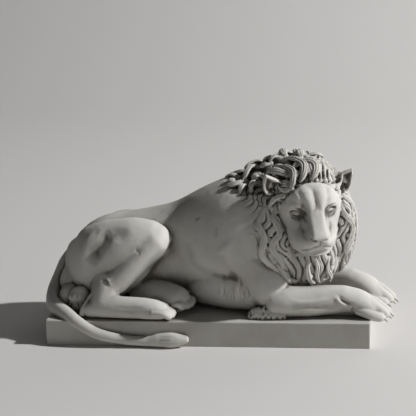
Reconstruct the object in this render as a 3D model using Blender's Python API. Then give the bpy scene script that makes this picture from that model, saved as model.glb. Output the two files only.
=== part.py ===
"""A reclining lion on its plinth, cast in plaster as one piece.

Metres, +Z up, +X towards the paws, -Y towards the side that the lion looks at. The origin is the
centre of the plinth's underside.

The lion is heaped up from rounded masses, fused by a voxel remesh and smoothed, as clay is. Its pose,
proportions and carving are given in figure units, shares of the lion's own length, counted from the
middle of the plinth's top.
"""

import math
import random

import bmesh
import bpy
import numpy as np
from mathutils import Matrix, Vector
from mathutils.bvhtree import BVHTree

LION_LENGTH = 0.222
PLINTH_LENGTH = 0.200
PLINTH_DEPTH = 0.088
PLINTH_HEIGHT = 0.016
PLINTH_EDGE = 0.0007

FIGURE_UNITS_LONG = 222.0
UNIT = LION_LENGTH / FIGURE_UNITS_LONG
PLINTH_FRONT = -PLINTH_DEPTH / 2 / UNIT
PLINTH_END = PLINTH_LENGTH / 2 / UNIT
PLINTH_BASE = -PLINTH_HEIGHT / UNIT

BODY_VOXEL = 1.6
BODY_SMOOTHING = 7
CARVING_VOXEL = 0.95
CARVING_SMOOTHING = 2
LION_TRIANGLES = 9200
HEAD_REACH = 28.0
HEAD_THINNING = 0.5
THINNING_FACTOR = 0.05
SPHERE_SUBDIVISIONS = 3
SWEEP_SIDES = 10

# The head's own frame has its origin midway between the eyes, and looks along its -Y.
HEAD_CENTRE = Vector((65.8, -30.5, 66.5))
HEAD = (
    Matrix.Translation(HEAD_CENTRE)
    @ Matrix.Rotation(math.radians(20), 4, "Z")
    @ Matrix.Rotation(math.radians(8), 4, "X")
    @ Matrix.Rotation(math.radians(-1), 4, "Y")
)

# The hair grows outwards from this oval round the face, in the head's frame.
HAIRLINE_CENTRE = Vector((0, 4, -3))
HAIRLINE_HALF_WIDTH = 20.0
HAIRLINE_HALF_HEIGHT = 21.5
LOCKS_ACROSS = 6.0
LOCKS_ALONG = 13.0
FOREARM_TOP = 20.0
SEED = 7


def clear_scene():
    for thing in list(bpy.data.objects):
        bpy.data.objects.remove(thing, do_unlink=True)


def plaster():
    material = bpy.data.materials.new("plaster")
    material.use_nodes = True
    shader = material.node_tree.nodes["Principled BSDF"]
    shader.inputs["Base Color"].default_value = (0.62, 0.61, 0.59, 1)
    shader.inputs["Roughness"].default_value = 0.85
    shader.inputs["Metallic"].default_value = 0.0
    return material


def smooth_path(points, steps):
    """A Catmull-Rom curve through points of any dimension, with steps samples between neighbours."""
    ends = [points[0] * 2 - points[1], *points, points[-1] * 2 - points[-2]]
    path = []
    for before, start, end, after in zip(ends, ends[1:], ends[2:], ends[3:]):
        for k in range(steps):
            t = k / steps
            path.append(
                0.5
                * (
                    2 * start
                    + (end - before) * t
                    + (2 * before - 5 * start + 4 * end - after) * t * t
                    + (3 * start - before - 3 * end + after) * t**3
                )
            )
    return [*path, points[-1]]


def ramp(value, start, end):
    """0 at start, 1 at end, and straight between them."""
    return max(0.0, min(1.0, (value - start) / (end - start)))


class Clay:
    """Closed rounded shapes heaped in one mesh, to be fused."""

    def __init__(self):
        self.mesh = bmesh.new()

    def ball(self, centre, radii, turn=(0, 0, 0), frame=None):
        """An ellipsoid. turn is in degrees about X, Y and Z."""
        place = frame or Matrix.Identity(4)
        place = place @ Matrix.Translation(centre)
        for angle, axis in zip(turn, "XYZ"):
            place = place @ Matrix.Rotation(math.radians(angle), 4, axis)
        place = place @ Matrix.Diagonal((*radii, 1))
        bmesh.ops.create_icosphere(
            self.mesh, subdivisions=SPHERE_SUBDIVISIONS, radius=1, matrix=place
        )

    def sweep(self, stations, steps=4, sides=SWEEP_SIDES, frame=None, up=(0, 0, 1)):
        """A round-ended tube. A station is (x, y, z, half width, half height)."""
        path = smooth_path([Vector(s) for s in stations], steps)
        place = frame or Matrix.Identity(4)
        points = [Vector(p[:3]) for p in path]
        rings = []
        for i, p in enumerate(path):
            ahead = points[min(i + 1, len(points) - 1)] - points[max(i - 1, 0)]
            across = ahead.cross(Vector(up)).normalized()
            over = across.cross(ahead).normalized()
            ring = (points[i], across, over, p[3], p[4])
            outwards = -1 if i == 0 else 1
            tip = points[i] + ahead.normalized() * 0.6 * outwards * min(p[3], p[4])
            cap = (tip, across, over, 0.45 * p[3], 0.45 * p[4])
            if i == 0:
                rings += [cap, ring]
            elif i == len(path) - 1:
                rings += [ring, cap]
            else:
                rings.append(ring)
        rows = []
        for middle, across, over, wide, high in rings:
            row = []
            for k in range(sides):
                a = math.tau * k / sides
                at = middle + across * math.cos(a) * wide + over * math.sin(a) * high
                row.append(self.mesh.verts.new(place @ at))
            rows.append(row)
        for near, far in zip(rows, rows[1:]):
            for k in range(sides):
                m = (k + 1) % sides
                self.mesh.faces.new((near[k], near[m], far[m], far[k]))
        self.mesh.faces.new(list(reversed(rows[0])))
        self.mesh.faces.new(rows[-1])

    def add(self, thing):
        self.mesh.from_mesh(thing.data)


def evaluated_mesh(thing):
    graph = bpy.context.evaluated_depsgraph_get()
    return bpy.data.meshes.new_from_object(thing.evaluated_get(graph))


def fused(name, clay, voxel, smoothing):
    """One object with one skin round all the clay, its hollows filled as the smoothing says."""
    bmesh.ops.recalc_face_normals(clay.mesh, faces=clay.mesh.faces)
    mesh = bpy.data.meshes.new(name)
    clay.mesh.to_mesh(mesh)
    clay.mesh.free()
    thing = bpy.data.objects.new(name, mesh)
    bpy.context.scene.collection.objects.link(thing)
    remesh = thing.modifiers.new("fuse", "REMESH")
    remesh.mode = "VOXEL"
    remesh.voxel_size = voxel
    smooth = thing.modifiers.new("smooth", "SMOOTH")
    smooth.factor = 0.5
    smooth.iterations = smoothing
    thing.data = evaluated_mesh(thing)
    thing.modifiers.clear()
    return thing


def skin_tree(thing):
    vertices = [v.co for v in thing.data.vertices]
    return BVHTree.FromPolygons(vertices, [p.vertices for p in thing.data.polygons])


def stroke(thing, path, width, height, frame=None):
    """Raises the skin along a path, or presses it where height is negative, fading out at width."""
    tree = skin_tree(thing)
    place = frame or Matrix.Identity(4)
    curve = smooth_path([Vector(p) for p in path], 6)
    line = [tree.find_nearest(place @ p)[0] for p in curve]
    count = len(thing.data.vertices)
    skin = np.empty(count * 3)
    thing.data.vertices.foreach_get("co", skin)
    skin = skin.reshape(count, 3)
    normals = np.empty(count * 3)
    thing.data.vertex_normals.foreach_get("vector", normals)
    normals = normals.reshape(count, 3)
    gap = np.full(count, np.inf)
    share = np.zeros(count)
    for k, (start, end) in enumerate(zip(line, line[1:])):
        span = np.array(end - start)
        t = np.clip((skin - np.array(start)) @ span / max(span @ span, 1e-9), 0, 1)
        here = np.linalg.norm(skin - np.array(start) - t[:, None] * span, axis=1)
        closer = here < gap
        gap[closer] = here[closer]
        share[closer] = (k + t[closer]) / (len(line) - 1)
    fall = np.clip(1 - (gap / width) ** 2, 0, 1) ** 2
    ends = np.clip(np.minimum(share, 1 - share) / 0.3, 0.15, 1)
    skin = skin + normals * (height * fall * ends)[:, None]
    thing.data.vertices.foreach_set("co", skin.ravel())
    thing.data.update()


def mirrored(shapes):
    """The shapes and their mirror images across the head's middle."""
    for centre, radii, turn in shapes:
        yield centre, radii, turn
        flipped = (-centre[0], centre[1], centre[2])
        yield flipped, radii, (turn[0], -turn[1], -turn[2])


def torso(clay):
    spine = (
        (-84, 6, 24, 18, 18),
        (-68, 6, 28, 25, 26),
        (-44, 6, 31, 25, 27.5),
        (-16, 6, 31.5, 23, 31.5),
        (8, 4, 33, 28, 36),
        (30, 0, 42, 32, 40),
        (48, -6, 52, 28, 36),
    )
    clay.sweep(spine, sides=24)
    clay.ball((-50, 8, 10), (40, 24, 14))
    clay.ball((14, 2, 26), (34, 34, 27), (0, -14, 0))


def near_foreleg(clay):
    clay.ball((20, -17, 34), (25, 18, 31), (0, -16, 0))
    clay.sweep(((22, -18, 44, 18, 17), (30, -25, 24, 14, 13), (37, -30, 11, 11, 10)))
    forearm = (
        (34, -31, 9, 11, 10.5),
        (50, -31, 9.6, 9.4, 9.8),
        (68, -30, 8.8, 8.4, 8.8),
        (84, -29, 9.6, 8.2, 8.4),
    )
    clay.sweep(forearm)
    paw(clay, Vector((84, -29, 9.8)), Vector((PLINTH_END + 8, -27.5, -0.5)))


def far_foreleg(clay):
    clay.ball((24, 20, 32), (24, 17, 30), (0, -16, 0))
    clay.sweep(((28, 20, 40, 16, 16), (36, 26, 22, 12, 12), (42, 29, 10, 10, 9)))
    forearm = (
        (42, 28, 9, 10, 9),
        (58, 22, 9, 9, 9),
        (74, 15, 9, 8, 8.6),
        (90, 9, 9.5, 8, 8.4),
    )
    clay.sweep(forearm)
    paw(clay, Vector((90, 9, 9.8)), Vector((PLINTH_END + 13, 5, -1)))


def paw(clay, wrist, toe):
    """A forepaw that hangs over the plinth's end, four toes wide."""
    along = (toe - wrist).normalized()
    across = along.cross(Vector((0, 0, 1))).normalized()
    middle = wrist.lerp(toe, 0.5) + Vector((0, 0, 1.6))
    clay.sweep(((*wrist, 8, 8.2), (*middle, 8.6, 7.6), (*wrist.lerp(toe, 0.8), 8.4, 6.2)))
    toes = 4
    for i in range(toes):
        side = (i - (toes - 1) / 2) * 4.3
        reach = 0.5 * math.cos(side / 6)
        knuckle = wrist.lerp(toe, 0.72) + across * side + Vector((0, 0, 1.4 * reach))
        tip = wrist.lerp(toe, 1.0 + 0.1 * reach) + across * side * 1.08
        pad = tip + Vector((-1.2, 0, -3.2))
        clay.sweep(((*knuckle, 2.9, 3.6), (*tip, 2.7, 3.4), (*pad, 2.5, 2.9)), up=across)


def near_hind_leg(clay):
    """The folded thigh and shank are one broad mass, with the foot flat along the plinth's edge."""
    thigh = (
        (-88, -2, 25, 10, 16),
        (-74, -12, 27, 17, 24),
        (-58, -17, 32, 18, 26.5),
        (-42, -20, 40.5, 15, 20.5),
        (-30, -22, 47, 10, 11),
    )
    clay.sweep(thigh, sides=20)
    clay.ball((-50, -21, 30), (25, 14, 18), (0, -38, 0))
    shank = ((-31, -25, 46, 9, 10), (-46, -28, 28, 11, 12), (-63, -31, 13, 9, 10))
    clay.sweep(shank, sides=16)
    clay.sweep(((-66, -24, 26, 10, 10), (-74, -32, 12, 5.5, 5), (-76, -36, 6, 5, 5)))
    foot = (
        (-75, -37, 5, 5, 5),
        (-58, -38.5, 6, 6, 6.4),
        (-40, -39, 6.4, 6.6, 6.4),
        (-28, -40, 5.6, 7.2, 6),
    )
    clay.sweep(foot)
    toes(clay, Vector((-29, -40, 5.4)), Vector((-17, -41.5, 2.4)))


def far_hind_leg(clay):
    """The far foot passes under the belly and shows its toes in front of it."""
    clay.ball((-58, 24, 28), (28, 14, 26), (0, -14, 0))
    foot = (
        (-48, -8, 12, 9, 11),
        (-36, -14, 11, 9.5, 11),
        (-25, -19, 9.5, 9.5, 10),
        (-17, -22, 8, 8, 8),
    )
    clay.sweep(foot)
    toes(clay, Vector((-23, -19.5, 9)), Vector((-11.5, -25, 4.8)))


def toes(clay, root, toe):
    along = (toe - root).normalized()
    across = along.cross(Vector((0, 0, 1))).normalized()
    count = 4
    for i in range(count):
        side = (i - (count - 1) / 2) * 3.7
        tip = toe + across * side - along * abs(side) * 0.35
        clay.sweep(((*(root + across * side), 3.2, 4), (*tip, 2.7, 3.2)), up=across)


def tail(clay):
    """It follows the rump down, turns round the plinth's corner and lies along its front face."""
    front = PLINTH_FRONT - 2.2
    rear = -PLINTH_END
    half_base = PLINTH_BASE / 2
    clay.sweep(
        (
            (-85, 6, 35, 6.5, 6.5),
            (-94, 1, 26, 5.8, 5.8),
            (rear + 1.4, -6, 15, 5.4, 5.4),
            (rear + 0.4, -16, 6.2, 5, 5.4),
            (rear + 5, front + 18.2, 3.2, 4.8, 5.2),
            (-86, front + 8.8, 1.8, 4.2, 4.6),
            (-75, front + 1, -1.8, 3.4, 4),
            (-60, front, -5.6, 2.8, 3.2),
            (-42, front, half_base - 1, 2.8, 3),
            (-30, front - 0.2, half_base - 2.2, 3.2, 3.8),
            (-20, front - 0.2, half_base - 2.2, 3.2, 4.6),
            (-10, front + 0.2, half_base - 1.2, 2, 2.2),
        )
    )


def skull(clay):
    """The head without its mane, in the head's frame."""
    clay.ball((0, 16, 4), (19, 21, 20), frame=HEAD)
    clay.ball((0, 7, 11), (14, 10, 9), frame=HEAD)
    muzzle = ((0, 1, -11, 12.5, 10), (0, -7, -12.5, 12, 8.5), (0, -12, -13.5, 10, 7))
    clay.sweep(muzzle, frame=HEAD)
    clay.ball((0, -9, -19), (8.5, 7.5, 4.8), frame=HEAD)
    bridge = (
        (0, 2, 12, 6, 5),
        (0, -2.5, 5, 5.4, 4.6),
        (0, -10, -0.5, 4.8, 4.2),
        (0, -17, -5.8, 5.2, 4.2),
    )
    clay.sweep(bridge, frame=HEAD, up=(0, 1, 0.6))
    pairs = (
        ((9.5, 6, -6), (9.5, 10.5, 14), (0, 0, 0)),
        ((13.5, 4.5, 0), (5.6, 7, 7), (0, 0, 0)),
        ((6.4, -13, -12.6), (7, 7, 6), (0, 0, 12)),
        ((4.4, -1.6, 10.6), (3.9, 4, 7.5), (-14, 6, 0)),
        ((12, 1.2, 6.6), (6.4, 4.4, 3.4), (0, 16, 14)),
        ((11, 3, 0.2), (4.4, 4.2, 3.6), (0, 0, 0)),
    )
    for centre, radii, turn in mirrored(pairs):
        clay.ball(centre, radii, turn, frame=HEAD)
    for side in (-1, 1):
        ear(clay, side)


def ear(clay, side):
    """A pointed cup, pressed hollow where it faces forward."""
    cup = (
        (18 * side, 11, 8, 6, 4),
        (22 * side, 9.5, 11.5, 6, 3.8),
        (25 * side, 8.5, 15.5, 4, 3),
        (26.8 * side, 8.5, 18.4, 1.6, 1.4),
    )
    clay.sweep(cup, frame=HEAD, up=(0, 1, 0))


def mane_bulk(clay):
    clay.ball((1, 21.5, -11), (34, 15, 34), (4, 0, 0), frame=HEAD)
    clay.ball((-5, 26, 4.5), (26, 19, 21.5), frame=HEAD)
    clay.ball((0, 9, -31), (24, 10, 18), frame=HEAD)
    clay.ball((39, -4, 61), (27, 23, 31), (0, -10, 0))


def face_angle(point):
    """How far round the face a point lies, from 0 above it to pi below it, its side and its place."""
    local = HEAD.inverted() @ point - HAIRLINE_CENTRE
    angle = math.atan2(abs(local.x) / HAIRLINE_HALF_WIDTH, local.z / HAIRLINE_HALF_HEIGHT)
    return angle, 1 if local.x >= 0 else -1, local


def hair_flow(point):
    """The way that hair lies: back over the crown, down beside the face, and straight down below it."""
    angle, side, local = face_angle(point)
    crown = 1 - ramp(angle, math.radians(35), math.radians(80))
    below = ramp(angle, math.radians(125), math.radians(175))
    outwards = Vector((side * math.sin(angle), 0, math.cos(angle)))
    round_face = Vector((side * math.cos(angle), 0.12, -math.sin(angle))) + outwards * 0.2
    back = outwards * 0.35 + Vector((0, 1, 0.1))
    flow = HEAD.to_3x3() @ (round_face.lerp(back, crown)) * (1 - below)
    flow += Vector((0, 0, -1)) * below
    neck = Vector((-1, 0.1, -0.6)).normalized()
    behind = ramp(local.y, 20, 40)
    return flow.normalized().lerp(neck, behind).normalized()


def in_mane(point):
    """Whether a point of the skin carries locks: behind the hairline and above the forelegs."""
    angle, _, local = face_angle(point)
    oval = math.hypot(local.x / HAIRLINE_HALF_WIDTH, local.z / HAIRLINE_HALF_HEIGHT)
    if oval < 1 and local.y < 8:
        return False
    if local.y < -2 and angle < math.radians(140):
        return False
    if point.z < FOREARM_TOP + 8 or local.y > 60:
        return False
    return point.x > 12 + max(0.0, 66 - point.z) * 0.6


def lock_roots(skin, chance):
    """Places for locks over the mane, further apart along the hair's flow than across it."""
    candidates = [v.co.copy() for v in skin.data.vertices if in_mane(v.co)]
    chance.shuffle(candidates)
    roots = []
    for place in candidates:
        flow = hair_flow(place)
        for other in roots:
            apart = place - other
            along = apart.dot(flow)
            across = (apart - flow * along).length
            if math.hypot(along / LOCKS_ALONG, across / LOCKS_ACROSS) < 1:
                break
        else:
            roots.append(place)
    return roots


def lock_path(tree, root, length, sway, wavelength, lift):
    """Places and skin normals along one lock, which follows the skin and waves across the flow."""
    count = 10
    stride = length / (count - 1)
    _, _, local = face_angle(root)
    phase = math.tau * (local.y * 0.6 - local.z) / wavelength
    at = root
    path = []
    for k in range(count):
        t = k / (count - 1)
        on_skin, normal, _, _ = tree.find_nearest(at)
        path.append((on_skin + normal * lift * (0.1 + t) * (1.1 - t) * 2, normal))
        flow = hair_flow(on_skin)
        flow = (flow - normal * flow.dot(normal)).normalized()
        turn = sway * math.cos(phase + math.tau * t * length / wavelength)
        flow.rotate(Matrix.Rotation(turn, 3, normal))
        at = on_skin + flow * stride
        if at.z < FOREARM_TOP:
            break
    return path


def locks(clay, skin):
    """Tapered locks of hair over the whole mane: curled on the crown, long and wavy beside the face."""
    chance = random.Random(SEED)
    tree = skin_tree(skin)
    for root in lock_roots(skin, chance):
        angle, _, _ = face_angle(root)
        crown = 1 - ramp(angle, math.radians(50), math.radians(75))
        length = 30 - 12 * crown
        sway = 0.5 + 0.5 * crown
        wide = (2.6 + 0.5 * crown) * chance.uniform(0.9, 1.15)
        lift = 1.6 + 1.4 * crown
        path = lock_path(tree, root, length, sway, 14, lift)
        if len(path) < 4:
            continue
        stations = []
        for k, (place, _) in enumerate(path):
            t = k / (len(path) - 1)
            swell = wide * (0.6 + 0.7 * t) * (1 - t) ** 0.5 + 0.4
            stations.append((*place, swell, swell * 0.9))
        clay.sweep(stations, steps=1, sides=6, up=path[len(path) // 2][1])


def ruff(clay):
    """The curly tuft behind the near elbow."""
    chance = random.Random(SEED + 1)
    for i in range(9):
        x = 30 + i * 2.3
        z = 6.0 - abs(i - 4) * 0.7
        clay.sweep(
            (
                (x + 1, -35, z, 1.5, 1.3),
                (x, -39, z * 0.55, 1.6, 1.4),
                (x + chance.uniform(-1, 1), -41, 0.2, 1.2, 1),
            ),
            sides=6,
        )


def carve(figure):
    """The hollows and edges that show from a step away."""
    stroke(figure, ((0, -3, 18), (0, -5, 11), (0, -6, 5)), 2.6, -2.2, HEAD)
    for side in (-1, 1):
        stroke(figure, ((7 * side, -3, 0), (15 * side, 0, 2)), 3, -1.6, HEAD)
        stroke(figure, ((0, -19, -16), (5 * side, -17, -15.6), (11 * side, -12, -18)), 2, -1.5, HEAD)
        stroke(figure, ((21.5 * side, 5, 10), (24.5 * side, 5, 14.5)), 3.4, -3.6, HEAD)
        stroke(figure, ((6 * side, -17, -8), (2 * side, -20, -10.5)), 1.6, -1.2, HEAD)
    stroke(figure, ((-62, -36, 54), (-68, -36, 40), (-75, -34, 24)), 6, -2.6)
    stroke(figure, ((-76, -34, 46), (-80, -34, 32)), 5, 1.6)
    stroke(figure, ((-46, -40, 50), (-44, -40, 36)), 7, 1.2)


def thin(figure):
    """Leaves the planned number of triangles, closer together on the head than elsewhere."""
    group = figure.vertex_groups.new(name="plain")
    for vertex in figure.data.vertices:
        from_face = (vertex.co - HEAD_CENTRE).length
        weight = HEAD_THINNING + (1 - HEAD_THINNING) * ramp(from_face, HEAD_REACH, HEAD_REACH * 1.3)
        group.add([vertex.index], weight, "REPLACE")
    triangles = sum(len(p.vertices) - 2 for p in figure.data.polygons)
    decimate = figure.modifiers.new("thin", "DECIMATE")
    decimate.ratio = LION_TRIANGLES / triangles
    decimate.vertex_group = group.name
    decimate.vertex_group_factor = THINNING_FACTOR
    figure.data = evaluated_mesh(figure)
    figure.modifiers.clear()
    figure.vertex_groups.clear()


def lion():
    """The whole figure in figure units, one closed skin."""
    body = Clay()
    legs = (near_foreleg, far_foreleg, near_hind_leg, far_hind_leg)
    for form in (torso, *legs, tail, mane_bulk, skull):
        form(body)
    skin = fused("skin", body, BODY_VOXEL, BODY_SMOOTHING)
    carving = Clay()
    carving.add(skin)
    skull(carving)
    locks(carving, skin)
    ruff(carving)
    bpy.data.objects.remove(skin)
    figure = fused("figure", carving, CARVING_VOXEL, CARVING_SMOOTHING)
    carve(figure)
    thin(figure)
    figure.data.transform(Matrix.Translation((0, 0, PLINTH_HEIGHT)) @ Matrix.Scale(UNIT, 4))
    return figure


def plinth():
    mesh = bmesh.new()
    size = Matrix.Diagonal((PLINTH_LENGTH, PLINTH_DEPTH, PLINTH_HEIGHT, 1))
    lift = Matrix.Translation((0, 0, PLINTH_HEIGHT / 2))
    bmesh.ops.create_cube(mesh, size=1, matrix=lift @ size)
    bmesh.ops.bevel(
        mesh, geom=mesh.edges[:], offset=PLINTH_EDGE, segments=1, affect="EDGES"
    )
    data = bpy.data.meshes.new("plinth")
    mesh.to_mesh(data)
    mesh.free()
    thing = bpy.data.objects.new("plinth", data)
    bpy.context.scene.collection.objects.link(thing)
    return thing


def main():
    clear_scene()
    figure = lion()
    slab = plinth()
    slab.hide_render = True
    slab.display_type = "WIRE"
    join = figure.modifiers.new("plinth", "BOOLEAN")
    join.operation = "UNION"
    join.solver = "EXACT"
    join.object = slab
    figure.name = "lion_on_plinth"
    figure.data.materials.clear()
    figure.data.materials.append(plaster())


main()
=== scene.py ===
"""The looks of a reclining lion on its plinth, cast in plaster as one piece.

The figure is modelled in figure units, which are about millimetres, counted from the middle of the
plinth's top: +X towards the forepaws, -Y towards the side that the lion looks at.
"""

import math
import random

import bmesh
import bpy
import numpy as np
from mathutils import Matrix, Vector, noise
from mathutils.bvhtree import BVHTree
from mathutils.kdtree import KDTree


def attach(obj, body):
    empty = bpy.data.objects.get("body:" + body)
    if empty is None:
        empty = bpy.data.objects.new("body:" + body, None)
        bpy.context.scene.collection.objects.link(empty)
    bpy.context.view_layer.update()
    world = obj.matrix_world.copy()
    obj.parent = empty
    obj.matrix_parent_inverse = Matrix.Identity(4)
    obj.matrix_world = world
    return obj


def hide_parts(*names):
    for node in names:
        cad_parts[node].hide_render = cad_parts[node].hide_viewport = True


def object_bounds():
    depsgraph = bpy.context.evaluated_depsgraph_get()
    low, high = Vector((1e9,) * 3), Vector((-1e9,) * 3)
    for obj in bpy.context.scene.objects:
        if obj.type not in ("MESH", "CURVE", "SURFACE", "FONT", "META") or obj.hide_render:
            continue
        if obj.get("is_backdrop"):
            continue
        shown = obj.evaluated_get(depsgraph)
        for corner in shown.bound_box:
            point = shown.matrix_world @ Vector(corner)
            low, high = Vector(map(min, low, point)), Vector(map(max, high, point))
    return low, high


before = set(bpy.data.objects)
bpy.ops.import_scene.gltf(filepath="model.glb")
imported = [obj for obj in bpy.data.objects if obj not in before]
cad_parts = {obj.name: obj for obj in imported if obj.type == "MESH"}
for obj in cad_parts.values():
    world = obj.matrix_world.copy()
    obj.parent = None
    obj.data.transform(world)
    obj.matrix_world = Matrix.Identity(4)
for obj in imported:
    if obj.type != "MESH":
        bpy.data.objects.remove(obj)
cad_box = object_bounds()

LION_LENGTH = 0.222
PLINTH_LENGTH = 0.200
PLINTH_DEPTH = 0.088
PLINTH_HEIGHT = 0.016
PLINTH_EDGE = 0.0005
PLINTH_GRID = 0.0025
FIGURE_UNITS_LONG = 222.0
UNIT = LION_LENGTH / FIGURE_UNITS_LONG
PLINTH_FRONT = -PLINTH_DEPTH / 2 / UNIT
PLINTH_END = PLINTH_LENGTH / 2 / UNIT

BODY_VOXEL = 0.8
BODY_SMOOTHING = 28
CARVING_VOXEL = 0.38
CARVING_SMOOTHING = 1
LION_TRIANGLES = 190000
SPHERE_SUBDIVISIONS = 4
SWEEP_SIDES = 20
BLUNT_LENGTH = 0.6
BLUNT_WIDTH = 0.45
LOCK_SIDES = 16

# The head's own frame has its origin midway between the eyes, and looks along its -Y.
HEAD_CENTRE = Vector((66.1, -30.5, 66.6))
HEAD = (
    Matrix.Translation(HEAD_CENTRE)
    @ Matrix.Rotation(math.radians(18.6), 4, "Z")
    @ Matrix.Rotation(math.radians(8.4), 4, "X")
    @ Matrix.Rotation(math.radians(-1), 4, "Y")
)

# The hair grows outwards from this oval round the face, in the head's frame.
HAIRLINE_CENTRE = Vector((0, 4, -3))
HAIRLINE_HALF_WIDTH = 20.0
HAIRLINE_HALF_HEIGHT = 21.5

# The mane ends above the forearms, and no hair grows behind its rear.
FOREARM_TOP = 20.0
MANE_REAR = 5.0
WAVE_LENGTH = 19.0
LOCKS_APART = 3.5
CURLS_APART = 4.6
STRANDS_APART = 1.7
LONGEST_LOCK = 110

# Locks keep this clear of shaped ones, and shape the skin only within these distances of their lines.
LOCK_CLEARANCE = 2.8
LAID_REACH = 1.5
COMBED_REACH = 5.0
SEED = 7

# The camera's azimuth, elevation and roll in degrees, then metres and its lens in millimetres.
CAMERA_ANGLES = (8.06, 14.0, 2.08)
CAMERA_TARGET = Vector((-0.00167, 0, 0.0767))
CAMERA_DISTANCE = 0.795
CAMERA_LENS = 108.8
LION_MIDDLE = Vector((0, 0, 0.05))

# Hollows are told from the skin smoothed by this many rounds: locks on the figure, edges on the slab.
FIGURE_ROUNDS = 30
SLAB_ROUNDS = 12

# Painted shade darkens where the open sky within this distance, in figure units, is covered.
SHELTER_REACH = 45.0
SHELTER_RAYS = 14
SHELTER_START = 0.0004


def smooth_path(points, steps):
    ends = [points[0] * 2 - points[1], *points, points[-1] * 2 - points[-2]]
    path = []
    for before, start, end, after in zip(ends, ends[1:], ends[2:], ends[3:]):
        for k in range(steps):
            t = k / steps
            path.append(0.5 * (2 * start + (end - before) * t
                + (2 * before - 5 * start + 4 * end - after) * t * t
                + (3 * start - before - 3 * end + after) * t**3))
    return [*path, points[-1]]


def ramp(value, start, end):
    return max(0.0, min(1.0, (value - start) / (end - start)))


def placed(name, data):
    thing = bpy.data.objects.new(name, data)
    bpy.context.scene.collection.objects.link(thing)
    return thing


def finished_mesh(name, shape):
    mesh = bpy.data.meshes.new(name)
    shape.to_mesh(mesh)
    shape.free()
    return mesh


def apply_modifiers(thing):
    graph = bpy.context.evaluated_depsgraph_get()
    thing.data = bpy.data.meshes.new_from_object(thing.evaluated_get(graph))
    thing.modifiers.clear()


def listed(items, name, width, kind=float):
    """One property of all the given parts of a mesh, with a row for each."""
    values = np.empty(len(items) * width, dtype=kind)
    items.foreach_get(name, values)
    return values.reshape(-1, width)


def store(mesh, name, values):
    """Keeps a number for each place of a mesh, for the plaster's colour."""
    mesh.attributes.new(name, "FLOAT", "POINT").data.foreach_set("value", values)


def along(points, path):
    """Each point's distance to a path, and its share of the way along it."""
    gap = np.full(len(points), np.inf)
    share = np.zeros(len(points))
    for k, (start, end) in enumerate(zip(path, path[1:])):
        span = end - start
        t = np.clip((points - start) @ span / max(span @ span, 1e-9), 0, 1)
        here = np.linalg.norm(points - start - t[:, None] * span, axis=1)
        closer = here < gap
        gap[closer] = here[closer]
        share[closer] = (k + t[closer]) / (len(path) - 1)
    return gap, share


class Clay:
    """Lumps and rolls that overlap, before they are fused into one form."""

    def __init__(self):
        self.mesh = bmesh.new()

    def ball(self, centre, radii, turn=(0, 0, 0), within=None):
        place = within or Matrix.Identity(4)
        place = place @ Matrix.Translation(centre)
        for angle, axis in zip(turn, "XYZ"):
            place = place @ Matrix.Rotation(math.radians(angle), 4, axis)
        place = place @ Matrix.Diagonal((*radii, 1))
        bmesh.ops.create_icosphere(self.mesh, subdivisions=SPHERE_SUBDIVISIONS, radius=1, matrix=place)

    def sweep(self, stations, steps=8, sides=SWEEP_SIDES, within=None, up=(0, 0, 1)):
        """A roll with blunt ends through stations of a place, half a width and half a height."""
        path = smooth_path([Vector(s) for s in stations], steps)
        place = within or Matrix.Identity(4)
        points = [Vector(p[:3]) for p in path]
        rings = []
        for i, p in enumerate(path):
            ahead = points[min(i + 1, len(points) - 1)] - points[max(i - 1, 0)]
            across = ahead.cross(Vector(up)).normalized()
            over = across.cross(ahead).normalized()
            ring = (points[i], across, over, p[3], p[4])
            outwards = -1 if i == 0 else 1
            tip = points[i] + ahead.normalized() * BLUNT_LENGTH * outwards * min(p[3], p[4])
            cap = (tip, across, over, BLUNT_WIDTH * p[3], BLUNT_WIDTH * p[4])
            if i == 0:
                rings += [cap, ring]
            elif i == len(path) - 1:
                rings += [ring, cap]
            else:
                rings.append(ring)
        turns = [math.tau * k / sides for k in range(sides)]
        self.tube([
            [place @ (middle + across * math.cos(a) * wide + over * math.sin(a) * high) for a in turns]
            for middle, across, over, wide, high in rings
        ])

    def tube(self, rows):
        """A closed skin over rings of places."""
        rings = [[self.mesh.verts.new(p) for p in row] for row in rows]
        count = len(rings[0])
        for near, far in zip(rings, rings[1:]):
            for k in range(count):
                m = (k + 1) % count
                self.mesh.faces.new((near[k], near[m], far[m], far[k]))
        self.mesh.faces.new(list(reversed(rings[0])))
        self.mesh.faces.new(rings[-1])


def fused(name, clay, voxel, smoothing):
    """All the clay's pieces melted into one skin and smoothed."""
    bmesh.ops.recalc_face_normals(clay.mesh, faces=clay.mesh.faces)
    thing = placed(name, finished_mesh(name, clay.mesh))
    remesh = thing.modifiers.new("fuse", "REMESH")
    remesh.mode = "VOXEL"
    remesh.voxel_size = voxel
    smooth = thing.modifiers.new("smooth", "SMOOTH")
    smooth.factor = 0.5
    smooth.iterations = smoothing
    apply_modifiers(thing)
    return thing


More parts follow.
